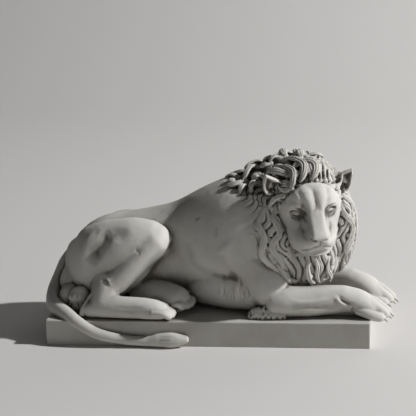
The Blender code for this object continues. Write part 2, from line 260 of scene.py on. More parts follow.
class Skin:
    """A finished form whose surface strokes raise and press."""

    def __init__(self, thing):
        self.thing = thing
        self.read()

    def read(self):
        mesh = self.thing.data
        self.places = listed(mesh.vertices, "co", 3)
        self.normals = listed(mesh.vertex_normals, "vector", 3)
        corners = listed(mesh.loops, "vertex_index", 1, np.int32).ravel()
        starts = listed(mesh.polygons, "loop_start", 1, np.int32).ravel()
        totals = listed(mesh.polygons, "loop_total", 1, np.int32).ravel()
        polygons = [corners[s:s + n].tolist() for s, n in zip(starts, totals)]
        self.tree = BVHTree.FromPolygons(self.places.tolist(), polygons)

    def write(self):
        self.thing.data.vertices.foreach_set("co", self.places.ravel())
        self.thing.data.update()
        self.read()

    def stroke(self, path, width, height):
        """Raises the skin along a path, or presses it where height is negative."""
        curve = smooth_path([Vector(p) for p in path], 6)
        line = np.array([self.tree.find_nearest(p)[0] for p in curve])
        low = line.min(axis=0) - width
        high = line.max(axis=0) + width
        near = np.flatnonzero(((self.places > low) & (self.places < high)).all(axis=1))
        gap, share = along(self.places[near], line)
        reach = np.clip(1 - gap / width, 0, 1)
        fall = (1 - (1 - reach) ** 2) ** 2
        fade = np.clip(np.minimum(share, 1 - share) / 0.3, 0.1, 1)
        self.places[near] += self.normals[near] * (height * fall * fade)[:, None]


def torso(clay):
    spine = (
        (-84, 6, 24, 18, 18),
        (-68, 6, 28, 25, 26),
        (-44, 6, 31, 25, 27.5),
        (-18, 4, 32.5, 24, 32.5),
        (4, 0, 37, 30, 38),
        (26, -4, 44, 32, 40),
        (48, -7, 52, 29, 36),
    )
    clay.sweep(spine, sides=48)
    clay.ball((-50, 8, 10), (40, 24, 14))
    clay.ball((-86, 8, 15), (13.5, 17, 16))
    belly = (
        (-20, 6, 12, 14, 12),
        (-4, -3, 14, 18, 15),
        (12, -12, 17, 19, 18),
        (32, -18, 17, 17, 18),
    )
    clay.sweep(belly, sides=32)


def near_foreleg(clay):
    clay.sweep(((18, -16, 42, 20, 22), (30, -22, 26, 15, 17), (42, -29, 13, 11, 12)), sides=32)
    forearm = (
        (40, -31, 8.5, 9.5, 9),
        (50, -31, 9.6, 10, 9.8),
        (64, -30, 9.4, 9.4, 9.5),
        (76, -29, 10, 8.8, 9),
        (86, -28.6, 10.6, 8.6, 8.6),
    )
    clay.sweep(forearm, sides=32)
    palm = (
        (84, -28.6, 10.4, 8.6, 8.4),
        (93, -28.4, 9, 8.8, 7.4),
        (100, -28.2, 6, 8.4, 6),
        (105, -28, 3, 7, 4.6),
    )
    clay.sweep(palm, sides=32)


def far_foreleg(clay):
    clay.ball((22, 15, 34), (27, 20, 30), (0, -16, 0))
    clay.sweep(((28, 20, 40, 16, 16), (36, 26, 22, 12, 12), (42, 29, 10, 10, 9)), sides=32)
    forearm = (
        (42, 28, 9, 10, 9),
        (58, 22, 9, 9, 9),
        (74, 15, 9, 8.4, 8.8),
        (90, 7.5, 9.8, 8.2, 8.8),
    )
    clay.sweep(forearm, sides=32)
    palm = (
        (88, 8, 9.8, 8.2, 8.6),
        (97, 4.6, 8.6, 8.4, 7.4),
        (104, 2.6, 5, 8, 5.6),
        (108, 2, 2, 6.4, 4.2),
    )
    clay.sweep(palm, sides=32)


# Each forepaw's four toes, from the wrist's end: forwards, sideways, up and radius.
TOES = (
    ((0, -6.2, 5.4, 2.6), (5.5, -7, 4, 3.3), (11, -7.2, 2, 3.3), (15, -6.6, 1, 2.7)),
    ((1, -2.6, 8, 2.6), (7, -3, 8.8, 3.4), (13.2, -2.9, 5, 3.4), (17.6, -2.8, 1.6, 2.8)),
    ((1, 1.6, 8.6, 2.6), (8, 1.7, 9, 3.4), (14.4, 1.5, 5, 3.4), (18.8, 1.3, 1.6, 2.8)),
    ((1, 5, 6.6, 2.6), (7, 5.9, 6.6, 3.4), (12.4, 5.9, 3.2, 3.3), (16.2, 5.5, 0.4, 2.7)),
)


def forepaw_toes(clay, paw):
    """Plump toes with short hooked claws, hanging over the plinth's end."""
    for toe in TOES:
        clay.sweep([(x, y, z, r, r) for x, y, z, r in toe], within=paw, up=(0, 1, 0))
        x, y, z, r = toe[-1]
        claw = (
            (x + 1.4, y, z - 0.4, 1.2, 1.2),
            (x + 2.9, y, z - 1.6, 0.8, 0.8),
            (x + 3.3, y, z - 3, 0.3, 0.3),
        )
        clay.sweep(claw, within=paw, up=(0, 1, 0), sides=10, steps=5)


def near_hind_leg(clay):
    thigh = (
        (-88, -2, 25, 10, 16),
        (-74, -12, 27, 17, 24),
        (-58, -17, 35, 18, 23.5),
        (-43, -20, 43, 15, 17.5),
        (-30, -22, 47.5, 10, 11),
    )
    clay.sweep(thigh, sides=40)
    clay.ball((-85, -10, 14), (13, 12, 15))
    shank = ((-30, -25, 47.5, 8.5, 8.5), (-45, -27, 33, 10, 8.5), (-59, -29, 20, 9, 9))
    clay.sweep(shank, sides=32)
    ankle = (
        (-56, -18, 36, 9, 8),
        (-60, -25, 26, 11, 9),
        (-63.5, -32.5, 16.5, 9.5, 7),
        (-66, -37.5, 8, 9, 6),
    )
    clay.sweep(ankle)
    foot = (
        (-75, -37, 4.8, 4.8, 4.8),
        (-62, -38, 7, 6, 7),
        (-44, -38.8, 7, 6.8, 6.8),
        (-32, -39.6, 6.4, 7.4, 6.2),
        (-25, -40, 5, 7.4, 4.6),
    )
    clay.sweep(foot)


def far_hind_leg(clay):
    clay.ball((-57, 19, 29), (31, 18, 26), (0, -14, 0))
    foot = (
        (-46, -12, 9, 9.4, 9.4),
        (-33, -19.5, 9.2, 9.8, 9.4),
        (-23.5, -24.2, 8.8, 9.8, 9),
        (-16.5, -27, 8, 9, 8),
    )
    clay.sweep(foot)


def hind_toes(clay, root, tip, high):
    """Four round toes side by side, the outer two shorter."""
    ahead = (tip - root).normalized()
    across = ahead.cross(Vector((0, 0, 1))).normalized()
    for i in range(4):
        side = (i - 1.5) * 3.8
        short = 0.6 * abs(i - 1.5) ** 2
        start = root + across * side * 0.9
        bend = root.lerp(tip, 0.6) + across * side + Vector((0, 0, high * 0.3))
        end = tip + across * side - ahead * short
        toe = ((*start, 2.3, high * 0.8), (*bend, 2.3, high * 0.85), (*end, 2.0, high * 0.6))
        clay.sweep(toe, up=across)


def tail(clay):
    front = PLINTH_FRONT - 2.2
    rear = -PLINTH_END
    course = (
        (-85, 6, 35, 6, 6),
        (-94, 1, 26, 5.4, 5.4),
        (rear + 1.2, -6, 16, 5.2, 5.2),
        (rear - 0.8, -15, 9, 5, 5),
        (rear + 2.2, front + 19, 5, 4.9, 5.1),
        (-88.5, front + 9.4, 2.2, 4.6, 4.8),
        (-78.5, front + 2.4, -2, 3.8, 4),
        (-66, front, -7.8, 3.1, 3.5),
        (-51, front, -11, 2.9, 3.1),
        (-36, front, -12, 2.9, 3.1),
        (-28, front - 0.2, -11.2, 3.3, 4.4),
        (-19.5, front - 0.3, -10.9, 3.5, 4.7),
        (-11, front + 0.2, -10.6, 1.8, 2.2),
    )
    clay.sweep(course, steps=12)


def hock_tuft(clay):
    """A tuft of fur behind the hock, beside the heel tendon, which stands like a thin leaf."""
    chance = random.Random(SEED + 2)
    clay.ball((-81.5, -28.5, 9), (7, 4.6, 8.6), (0, 14, 0))
    clay.ball((-88.5, -21, 7.5), (7.5, 9, 9.5))
    tendon = (
        (-77.4, -40, 2.6, 1.7, 1.4),
        (-76.8, -39.6, 6, 1.5, 1.2),
        (-74.6, -38.4, 10.5, 0.9, 0.7),
        (-71.6, -36.6, 15.5, 0.4, 0.4),
    )
    clay.sweep(tendon, up=(0, 1, 0))
    for i in range(18):
        side = -6 + 0.75 * i
        front = -28.2 - 4.4 * math.sqrt(max(0, 1 - (side / 7) ** 2))
        top = (14.5 if i % 2 else 9.5) - 0.1 * side * side + chance.uniform(-1, 0.6)
        root = Vector((-81 + side, front + 1.8, top))
        sway = chance.uniform(-1.2, 1.2)
        bow = root + Vector((sway - 0.6, -1.9, -2))
        low = bow + Vector((-sway, -0.1, -2.8))
        tip = low + Vector((sway, 0.9, -2.6))
        lock = ((*root, 0.7, 0.7), (*bow, 1.1, 1), (*low, 1, 0.9), (*tip, 0.4, 0.4))
        clay.sweep(lock, up=(0, 1, 0), sides=10, steps=6)


# How far forward the face stands: a row for each height, from the forehead to below the chin, with a
# value for each distance from the middle line.
FACE_COLUMNS = (0, 3, 4.6, 6, 9, 12, 15, 17.5, 19.5, 20.5)
FACE_ROWS = (
    (22, (-9, -9, -9.2, -9.5, -10.5, -12, -14.5, -17, -20, -24)),
    (18, (-3, -3, -3.2, -3.4, -4.4, -6, -8.6, -11.5, -14, -20)),
    (14, (2.2, 2.2, 2, 1.8, 0.8, -1, -3.8, -7, -10, -16)),
    (10, (4.4, 4.4, 4.3, 4, 3, 1, -1.8, -4.6, -8, -14)),
    (6, (6.2, 6, 5.6, 4.8, 3.4, 2, -0.6, -3.4, -7, -13)),
    (3, (8, 7.8, 7.2, 5, 2.8, 1.8, -0.2, -2.8, -6.4, -12)),
    (0, (10, 9.8, 9, 5.8, 2.2, 1.4, 0, -2.4, -6, -12)),
    (-3, (12.6, 12.4, 11.5, 7.6, 3, 1.6, 0, -2.4, -6, -12)),
    (-6, (15.4, 15.2, 14.2, 10.4, 5, 2.6, 0.2, -3, -7, -13)),
    (-9, (18, 17.8, 16.9, 13.8, 8, 4.2, 0.6, -4, -9, -15)),
    (-11, (18.8, 18.6, 17.4, 15.2, 10.6, 6, 1, -5, -11, -17)),
    (-13, (17.8, 17.8, 17.2, 16, 12.6, 7.8, 1.4, -6, -13, -19)),
    (-16, (17.2, 17.2, 16.8, 15.8, 13, 8.6, 1.2, -7.5, -16, -22)),
    (-18, (16.2, 16.1, 15.7, 14.8, 12, 7.8, 0.2, -9, -18, -24)),
    (-21, (15.2, 15.1, 14.7, 13.8, 11, 6, -3, -12, -22, -28)),
    (-23.5, (14, 13.8, 13.2, 12.2, 9, 3, -8, -18, -26, -32)),
    (-24.6, (3, 2.8, 2, 1.2, -3, -9, -17, -25, -31, -36)),
    (-26, (-8, -8, -8.5, -9, -12, -16, -22, -28, -33, -38)),
)


class Relief:
    """How far the face stands forward over its own width and height."""

    def __init__(self, spacing):
        side = FACE_COLUMNS[-1]
        self.xs = np.arange(-side, side + spacing / 2, spacing)
        self.zs = np.arange(FACE_ROWS[-1][0], FACE_ROWS[0][0] + spacing / 2, spacing)
        heights = np.array([row[0] for row in FACE_ROWS[::-1]], dtype=float)
        table = np.array([row[1] for row in FACE_ROWS[::-1]], dtype=float)
        by_x = np.array([np.interp(np.abs(self.xs), FACE_COLUMNS, row) for row in table])
        self.depth = np.array([np.interp(self.zs, heights, column) for column in by_x.T]).T
        self.soften(int(1.1 / spacing**2))
        self.depth = np.maximum(self.depth, -22)
        self.x, self.z = np.meshgrid(self.xs, self.zs)

    def soften(self, rounds):
        """Rounds the table's steps off."""
        for _ in range(rounds):
            wide = np.pad(self.depth, 1, mode="edge")
            sides = wide[1:-1, :-2] + wide[1:-1, 2:] + wide[:-2, 1:-1] + wide[2:, 1:-1]
            self.depth = 0.5 * self.depth + 0.125 * sides

    def bump(self, x, z, wide, high, turn, height, power=1.5):
        a = math.radians(turn)
        across = (self.x - x) * math.cos(a) + (self.z - z) * math.sin(a)
        up = (self.z - z) * math.cos(a) - (self.x - x) * math.sin(a)
        reach = np.clip(1 - (across / wide) ** 2 - (up / high) ** 2, 0, 1)
        self.depth += height * reach**power

    def line(self, points, width, height, sharp=False):
        path = np.array([tuple(p) for p in smooth_path([Vector(p) for p in points], 6)])
        gap, share = along(np.column_stack((self.x.ravel(), self.z.ravel())), path)
        reach = np.clip(1 - gap / width, 0, 1)
        fall = reach if sharp else reach**2 * (3 - 2 * reach)
        ends = np.clip(np.minimum(share, 1 - share) / 0.2, 0.25, 1)
        self.depth += (height * fall * ends).reshape(self.depth.shape)

    def bumps(self, x, z, wide, high, turn, height):
        """The same bump on both sides of the face."""
        self.bump(-x, z, wide, high, -turn, height)
        self.bump(x, z, wide, high, turn, height)

    def lines(self, points, width, height, sharp=False):
        """The same line on both sides of the face."""
        self.line([(-x, z) for x, z in points], width, height, sharp)
        self.line(points, width, height, sharp)

    def solid(self, clay, back):
        """A closed block with this face as its front."""
        rows, columns = self.depth.shape
        front = []
        rear = []
        for r in range(rows):
            front.append([])
            rear.append([])
            for c in range(columns):
                z = float(self.zs[r])
                edge = FACE_COLUMNS[-1] * (1 - min(1, abs(z + 2) / 27) ** 2.6) ** 0.5
                x = max(-edge, min(edge, float(self.xs[c])))
                front[r].append(clay.mesh.verts.new(HEAD @ Vector((x, -float(self.depth[r, c]), z))))
                rear[r].append(clay.mesh.verts.new(HEAD @ Vector((x * 0.8, back, z * 0.8))))
        new = clay.mesh.faces.new
        for r in range(rows - 1):
            for c in range(columns - 1):
                new((front[r][c], front[r][c + 1], front[r + 1][c + 1], front[r + 1][c]))
                new((rear[r][c], rear[r + 1][c], rear[r + 1][c + 1], rear[r][c + 1]))
        for r in range(rows - 1):
            new((front[r][0], front[r + 1][0], rear[r + 1][0], rear[r][0]))
            new((front[r + 1][-1], front[r][-1], rear[r][-1], rear[r + 1][-1]))
        for c in range(columns - 1):
            new((front[0][c + 1], front[0][c], rear[0][c], rear[0][c + 1]))
            new((front[-1][c], front[-1][c + 1], rear[-1][c + 1], rear[-1][c]))


def brows(relief):
    """Two plump ovals side by side over the root of the nose, and a smaller one outside each."""
    relief.bump(-4.5, 10.8, 3.9, 8, 15, 1.7, 0.8)
    relief.bump(3.9, 11, 4.3, 8.4, 9, 1.8, 0.8)
    relief.bump(-10.4, 10.4, 2.6, 4, 12, 1.0)
    relief.bump(10.6, 10.6, 3.4, 5, -12, 0.8)
    relief.bump(-8.2, 5, 2, 2.2, 0, -0.9)
    relief.lines(((7.6, 4), (11, 4.9), (15.5, 3.4)), 2.6, 0.9)


def eyes(relief):
    """Almond eyes under a crisp upper lid, set deep beside the nose."""
    relief.bumps(9.8, -0.2, 5.4, 4.4, 10, -3.4)
    relief.bumps(10.4, -0.2, 3.2, 2.0, 16, 2.9)
    relief.lines(((6.6, -2), (8.4, 1.2), (11, 2.3), (14.6, 1.9)), 1.1, 1.3)
    relief.lines(((7, 0.8), (8.8, 3), (11.4, 3.9), (15, 3.2)), 0.9, -0.8)
    relief.lines(((7, -1.7), (8.8, 0.3), (11, 1.1), (13.8, 1.1)), 0.8, -1.8, True)
    relief.lines(((7.2, -2.2), (9.8, -2.7), (12.2, -1.9), (14.2, 0.5)), 0.9, 0.8)
    relief.lines(((7.6, -3.6), (10.6, -4.2), (14, -2.4)), 1.1, -0.6)
    relief.lines(((7, -1.8), (5.9, -4.2)), 1.1, -1.1)


def nose(relief):
    """A broad flat bridge with a sharp edge, and small nostrils turned down."""
    relief.bumps(5.1, -10.6, 2.6, 2, 0, 0.9)
    relief.lines(((1.8, -12.2), (4.2, -11.9), (6.4, -9.8)), 0.9, -2.2)
    relief.lines(((7, -7.6), (8.4, -10), (7.8, -12.6)), 1.4, -1.0)
    relief.line(((0, -12.4), (0, -15.6)), 0.8, -1.2)


def mouth(relief):
    """A soft closed mouth: the upper lip's two halves over a flat lip and chin."""
    relief.lines(((0, -15.4), (3.4, -16.8), (7, -19.2), (10.6, -20.6)), 1.1, -1.3)
    relief.lines(((7.5, -6), (10.5, -10), (13, -14.5)), 2.6, -0.5)
    relief.bumps(6, -14.2, 5, 2.8, -18, 0.5)
    relief.bump(0, -20.6, 9, 2.4, 0, -1.2)
    relief.line(((-10.5, -22.6), (0, -23.2), (10.5, -22.6)), 1.0, 1.0)


def face_block(clay):
    relief = Relief(0.35)
    brows(relief)
    eyes(relief)
    nose(relief)
    mouth(relief)
    relief.solid(clay, 25)


def skull(clay):
    clay.ball((0, 16, 4), (19, 21, 20), within=HEAD)
    clay.ball((0, 12, -8), (17, 14, 15), within=HEAD)


def ear(clay, rim, deepest):
    """A leaf-shaped cup in the head's frame, from the loop of its rim, which starts at the tip."""
    loop = smooth_path([Vector(p) for p in (*rim, rim[0])], 6)[:-1]
    deepest = Vector(deepest)
    middle = sum(loop, Vector()) / len(loop)
    rings = []
    for inside in (False, True):
        layer = []
        for share in (0, 0.2, 0.45, 0.7, 0.93):
            ring = []
            for place in loop:
                at = place.lerp(deepest, share)
                at.y = place.y + (deepest.y - place.y) * (1 - (1 - share) ** 2)
                if not inside:
                    outwards = place - middle
                    outwards.y = 0
                    brim = 0.6 + 1.1 * ramp(outwards.z, 0, 5)
                    at += outwards.normalized() * brim * (1 - share) + Vector((0, 1.6, 0))
                ring.append(HEAD @ at)
            layer.append(ring)
        rings += layer if inside else layer[::-1]
    clay.tube(rings)


LEFT_EAR = (
    (-26.6, 6.6, 21.6), (-21.4, 7.4, 18.4), (-15.6, 8.4, 14.9), (-17.4, 8.8, 11),
    (-23.4, 8.8, 8.9), (-27, 8.2, 11.4), (-27.8, 7.6, 16.4),
)
RIGHT_EAR = (
    (27.2, 9, 19.4), (22.6, 10, 17.6), (18.4, 11, 14.4), (20.6, 11.6, 9.4),
    (24.2, 11.2, 6.4), (26.2, 10.2, 9.3), (26.8, 9.4, 13.6),
)


def ears(clay):
    ear(clay, LEFT_EAR, (-22.6, 12.6, 13.6))
    ear(clay, RIGHT_EAR, (24, 15.4, 11.4))
    clay.ball((-20.5, 15.5, 13), (6.5, 5, 6.5), within=HEAD)
    clay.ball((22, 17, 11), (5, 5, 6), within=HEAD)


def mane_bulk(clay):
    clay.ball((0, 21.5, -10), (30, 12.5, 31), (4, 0, 0), within=HEAD)
    clay.ball((-4, 26.5, 7.2), (23.5, 17.5, 19.8), within=HEAD)
    clay.ball((20.5, 14, -22), (10.5, 9.5, 28), (0, 3, 0), within=HEAD)
    clay.ball((-20, 13, -20), (12, 9.5, 26), (0, -6, 0), within=HEAD)
    beard = (
        (0, 8, -14, 17, 8),
        (0, 7, -28, 18, 9),
        (0, 5, -40, 16, 8),
        (0, 4, -47.5, 13, 6),
    )
    clay.sweep(beard, sides=32, within=HEAD, up=(0, 1, 0))
    clay.ball((37, -3, 60), (26, 21, 30), (0, -8, 0))


def from_hairline(point):
    """A place in the head's frame, counted from the middle of the hairline's oval."""
    return HEAD.inverted() @ point - HAIRLINE_CENTRE


# The hair's run from the hairline outwards, in the head's frame: four rows on each side, then the beard.
HAIR_GUIDES = (
    ((-1, 4, 20.5), (-8, 5, 19.5), (-15, 7, 14.5), (-20, 8, 6),
        (-23.5, 8, -5), (-25, 6, -16), (-21, 2, -29), (-14, 0, -42)),
    ((-1, 8, 25), (-9, 11, 25), (-18, 15, 20), (-27, 18, 10),
        (-32, 16, -4), (-32, 11, -18), (-27, 6, -32), (-20, 3, -46)),
    ((-2, 15, 28), (-12, 21, 27), (-23, 27, 21), (-33, 31, 8),
        (-39, 30, -8), (-38, 26, -24), (-33, 20, -40)),
    ((-3, 26, 29), (-14, 33, 27), (-28, 40, 19), (-42, 46, 6), (-52, 50, -10)),
    ((2, 4, 20.5), (9, 5, 19), (16, 7, 13.5), (20.5, 8, 5),
        (23, 8, -6), (24.5, 6, -17), (22, 4, -30), (18, 2, -44)),
    ((2, 8, 25), (10, 11, 24.5), (19, 15, 19), (27, 18, 9),
        (32, 16, -5), (33, 13, -19), (31, 11, -33), (27, 9, -46)),
    ((2, 15, 28), (11, 21, 26), (21, 27, 18), (29, 30, 5),
        (32, 30, -10), (31, 28, -26), (27, 24, -42)),
    ((2, 26, 29), (9, 36, 24), (14, 45, 12), (14, 52, -4), (12, 56, -22), (8, 56, -40)),
    ((0, -2, -26), (0, -3, -38), (0, -4, -52)),
    ((-7, -1, -26), (-7, -2, -38), (-5, -3, -52)),
    ((7, -1, -26), (7, -2, -38), (5, -3, -52)),
)


class Guides:
    """The hair's direction anywhere, drawn from the nearest guides."""

    def __init__(self):
        places = []
        headings = []
        for guide in HAIR_GUIDES:
            path = smooth_path([HEAD @ Vector(p) for p in guide], 5)
            for near, far in zip(path, path[1:]):
                places.append(near.lerp(far, 0.5))
                headings.append((far - near).normalized())
        self.places = np.array(places)
        self.headings = np.array(headings)

    def flow(self, point):
        gaps = ((self.places - np.array(point)) ** 2).sum(axis=1)
        near = 1 / (gaps + 4) ** 2
        return Vector(near @ self.headings / near.sum()).normalized()


GUIDES = Guides()


def crownness(point):
    """Whether the hair there is part of the crown's curls, which reach lower behind the ears."""
    local = from_hairline(point)
    angle = math.atan2(abs(local.x) / HAIRLINE_HALF_WIDTH, local.z / HAIRLINE_HALF_HEIGHT)
    edge = 62 + 24 * ramp(local.y, 5, 22)
    return angle < math.radians(edge) and local.z > 2


def mane_edge(point):
    """How far in front of the mane's rear edge a place lies: the edge reaches back over the neck."""
    side = 28 + max(0.0, 48 - point.z) * 0.8
    top = 10.0
    high = ramp(point.z, 66, 80)
    return point.x - side * (1 - high) - top * high


def in_mane(point):
    local = from_hairline(point)
    oval = math.hypot(local.x / HAIRLINE_HALF_WIDTH, local.z / HAIRLINE_HALF_HEIGHT)
    if oval < 0.97 and local.y < 10:
        return False
    if local.y < -4 and local.z > -26 and abs(local.x) < 16:
        return False
    if point.z < FOREARM_TOP + 0.8 or local.y > 64:
        return False
    return mane_edge(point) > 0


def fading(point):
    """How deep the combing is: nothing at the mane's edge, and full a little inside it."""
    return ramp(mane_edge(point), 0, 16) ** 0.8


def strength(point):
    """How high the hair stands: full near the face, and fading out at the mane's edge."""
    return 0.2 + 0.8 * ramp(mane_edge(point), 0, 14)


class Combing:
    """Evenly spaced lines that follow the hair's flow over one part of the skin."""

    def __init__(self, tree, apart, inside):
        self.tree = tree
        self.apart = apart
        self.inside = inside
        self.taken = np.zeros((0, 3))

    def heading(self, place, normal):
        flow = GUIDES.flow(place)
        flow = (flow - normal * flow.dot(normal)).normalized()
        local = from_hairline(place)
        phase = (0.8 * math.hypot(local.x, local.y) - local.z) / WAVE_LENGTH
        phase += 0.35 * noise.noise(local * 0.08)
        sway = 0.75 + 0.17 * ramp(local.z, 0, 14) - 0.35 * ramp(local.z, -20, -32) * ramp(local.y, 9, 2)
        turn = sway * math.cos(math.tau * phase)
        flow.rotate(Matrix.Rotation(turn, 3, normal))
        return flow

    def free(self, place, gap):
        if not len(self.taken):
            return True
        return ((self.taken - np.array(place)) ** 2).sum(axis=1).min() > gap * gap

    def trace(self, start, way):
        at, normal, _, _ = self.tree.find_nearest(start)
        line = []
        for _ in range(LONGEST_LOCK):
            step = self.heading(at, normal) * way
            at, normal, _, _ = self.tree.find_nearest(at + step)
            if not self.inside(at) or not self.free(at, self.apart * 0.5):
                break
            line.append((at.copy(), normal.copy()))
        return line

    def comb(self, seeds):
        made = []
        waiting = [Vector(s) for s in seeds]
        while waiting:
            start = waiting.pop(0)
            at, normal, _, _ = self.tree.find_nearest(start)
            if not self.inside(at) or not self.free(at, self.apart * 0.92):
                continue
            line = self.trace(at, -1)[::-1] + [(at.copy(), normal.copy())] + self.trace(at, 1)
            if len(line) < 4:
                continue
            made.append(line)
            self.taken = np.concatenate([self.taken, np.array([tuple(p) for p, _ in line])])
            for place, up in line[::4]:
                side = up.cross(self.heading(place, up)) * self.apart
                waiting += [place + side, place - side]
        return made


class Partings:
    """Tells how far any place lies between two neighbouring lines."""

    def __init__(self, lines):
        self.tree = KDTree(sum(2 * len(line) for line in lines))
        self.owner = []
        for number, line in enumerate(lines):
            for place, after in zip(line, [*line[1:], line[-1]]):
                for half in (0, 0.5):
                    self.tree.insert(place.lerp(after, half), len(self.owner))
                    self.owner.append(number)
        self.tree.balance()

    def measure(self, place, count):
        """0 on a line and 1 halfway to the next, with the distance to the line."""
        found = self.tree.find_n(place, count)
        middle, first, gap = found[0]
        owner = self.owner[first]
        for beside, index, wider in found[1:]:
            if self.owner[index] != owner:
                apart = max((beside - middle).length_squared, 0.01)
                return max(0.0, min(1.0, 1 - (wider**2 - gap**2) / apart)), gap
        return min(1.0, gap / 3), gap


def lay_lock(clay, line, wide, high, lift, strands):
    """A tapered lock along a line of places and normals. Returns the lines of its strands."""
    last = len(line) - 1
    turns = [math.tau * c / LOCK_SIDES for c in range(LOCK_SIDES)]
    rows = []
    lines = [[] for _ in range(strands)]
    for k, (place, normal) in enumerate(line):
        t = k / last
        ahead = (line[min(k + 1, last)][0] - line[max(k - 1, 0)][0]).normalized()
        across = normal.cross(ahead).normalized()
        over = ahead.cross(across).normalized()
        taper = (0.15 + 0.85 * ramp(t, 0, 0.3)) * max(0.06, 1 - ramp(t, 0.5, 1.02) ** 2) ** 0.8
        middle = place + normal * lift * (1.15 * math.sin(math.pi * (0.06 + 0.68 * t)) - 0.15)
        rows.append([
            middle + (across * math.cos(a) * wide + over * math.sin(a) * high) * taper for a in turns
        ])
        for i, strand in enumerate(lines):
            side = 0.88 * (2 * (i + 0.5) / strands - 1)
            top = over * high * math.sqrt(1 - side * side)
            strand.append(middle + (across * side * wide + top) * taper)
    clay.tube(rows)
    return lines


# Locks modelled one by one, in the head's frame: path, half width, height, lift and strands.
# Those without a lift stand where their path does, and the rest lie on the head.
SHAPED_LOCKS = (
    (((-5, 22, 25), (-0.5, 16, 27.5), (3.6, 10, 26), (2.8, 5, 22.5), (-0.5, 1.6, 18.4)),
        3.2, 2.8, 2.4, 3),
    (((-11, 25, 25), (-5.5, 19, 26.4), (-2.6, 12, 25), (-3.6, 6, 21.8), (-7, 2.4, 17.2)),
        3, 2.6, 2.2, 3),
    (((-16, 21, 23), (-11.5, 15, 23.5), (-9.4, 9, 21.8), (-10.6, 4.4, 17.4), (-13, 3, 14.6)),
        2.5, 2.2, 1.8, 3),
    (((-11, 10, 21), (-15, 13, 21.4), (-19.5, 17, 21.6), (-25, 21, 21)), 2.4, 2, 1.6, 3),
    (((-16, 5, 9.6), (-19.5, 6.5, 8.4), (-22.5, 7.5, 6), (-25, 8.5, 2)), 1.8, 1.5, None, 2),
    (((-14.5, 4, 13.4), (-16.4, 6, 12.6), (-18, 7.4, 13.2), (-19.6, 8, 15)), 1.4, 1.2, None, 2),
    (((16.5, 6, 10), (19, 9, 12), (20.4, 9.8, 15), (21.4, 10, 18)), 1.5, 1.3, None, 2),
    (((19, 7, 2), (21.6, 8, -7), (26.2, 8, -15), (24.4, 8, -22.5), (22, 8, -29), (24.2, 8, -40)),
        2.1, 1.3, 0.5, 3),
    (((22.5, 10, 4), (28.3, 12, -4), (32.2, 12, -15.8), (29.4, 12, -22), (31.4, 12, -30), (28, 12, -42)),
        2.1, 1.3, 0.5, 3),
    (((-20, 7, 3), (-23.5, 7, -6), (-21.5, 5, -14), (-24, 4, -22), (-20, 2, -30), (-18, 0, -38)),
        2, 1.2, 0.4, 3),
    (((-27, 11, 0), (-30.5, 10, -9), (-28, 8, -17), (-30, 6, -26), (-25, 4, -34), (-20, 1, -42)),
        2.1, 1.2, 0.4, 3),
    (((-22, 1, -33), (-17, 0, -41), (-12.5, -0.5, -45.5), (-9.5, -2, -45)), 2.4, 1.8, 1, 3),
    (((-3.5, -2.5, -31), (-4, -3.6, -38), (-2.6, -4.4, -43.5), (0.6, -5.4, -46.4)), 1.7, 1.8, None, 2),
    (((0.5, -2, -29), (2.4, -3, -36), (1.6, -4, -41.5), (3.6, -5, -46.4)), 1.5, 1.7, None, 2),
    (((10.5, -1, -32), (9, -2.4, -38.5), (10.8, -3.4, -43), (10, -4.6, -46.6)), 1.6, 1.6, None, 2),
)


def forelocks():
    """Upright wavy locks beside the parting, combed from the hairline up and back."""
    for i in range(6):
        root = Vector((3.4 + 3 * i, 2.4 + 0.32 * i * i, 19.4 - 0.36 * i * i))
        fan = 0.5 + 0.4 * i
        path = (
            root,
            root + Vector((0.2 - 0.2 * fan, 2.6, 3.6)),
            root + Vector((0.4 + 0.4 * fan, 6.4, 6.4)),
            root + Vector((0.4 + fan, 11.5, 8.4)),
            root + Vector((2.6 + 2 * fan, 17, 8.4)),
            root + Vector((4 + 3 * fan, 22, 6)),
        )
        yield path, 1.7, 2.2, 1.6, 1


def shaped_locks(clay, tree):
    strands = []
    for path, wide, high, lift, count in (*SHAPED_LOCKS, *forelocks()):
        line = []
        for place in smooth_path([HEAD @ Vector(p) for p in path], 8):
            at, normal, _, _ = tree.find_nearest(place)
            line.append((place if lift is None else at, normal))
        strands += lay_lock(clay, line, wide, high, lift or 0, count)
    return strands


def by_ear(point):
    """Just behind an ear, where no curl is laid so that the ear's cup stays open."""
    local = from_hairline(point)
    ear, clear = ((-22, 14, 14), 9) if local.x < 0 else ((23, 14, 12), 6)
    return (local - Vector(ear)).length < clear


def on_crown(point):
    return in_mane(point) and crownness(point) and not by_ear(point)


def below_crown(point):
    return in_mane(point) and not crownness(point)


def runs(line, length, chance):
    """Cuts a line into runs of uneven length."""
    start = -chance.random() * length * 0.7
    while start < len(line) - 5:
        reach = length * chance.uniform(0.75, 1.25)
        part = line[max(0, int(start)):int(start + reach)]
        if len(part) > 6:
            yield part
        start += reach * 0.86


def crown_curls(clay, lines, chance):
    """Chunky curls that overlap like shingles, with their tips lifted."""
    strands = []
    for line in lines:
        for part in runs(line, 17, chance):
            full = strength(part[len(part) // 2][0])
            size = chance.uniform(0.85, 1.12) * (0.6 + 0.4 * full)
            raised = 1.9 * chance.uniform(0.3, 1.3) * full
            strands += lay_lock(clay, part, 2.6 * size, 2.2 * size * full, raised, 3)
    return strands


def ribbons(clay, lines, chance):
    """Long locks that stand out from the combed sides, here and there."""
    strands = []
    for line in lines:
        for part in runs(line, 38, chance):
            if len(part) > 14 and chance.random() < 0.36:
                full = strength(part[len(part) // 2][0])
                size = chance.uniform(0.85, 1.1) * (0.5 + 0.5 * full)
                strands += lay_lock(clay, part, 2.1 * size, 1.3 * size * full, 0.5 * full, 3)
    return strands


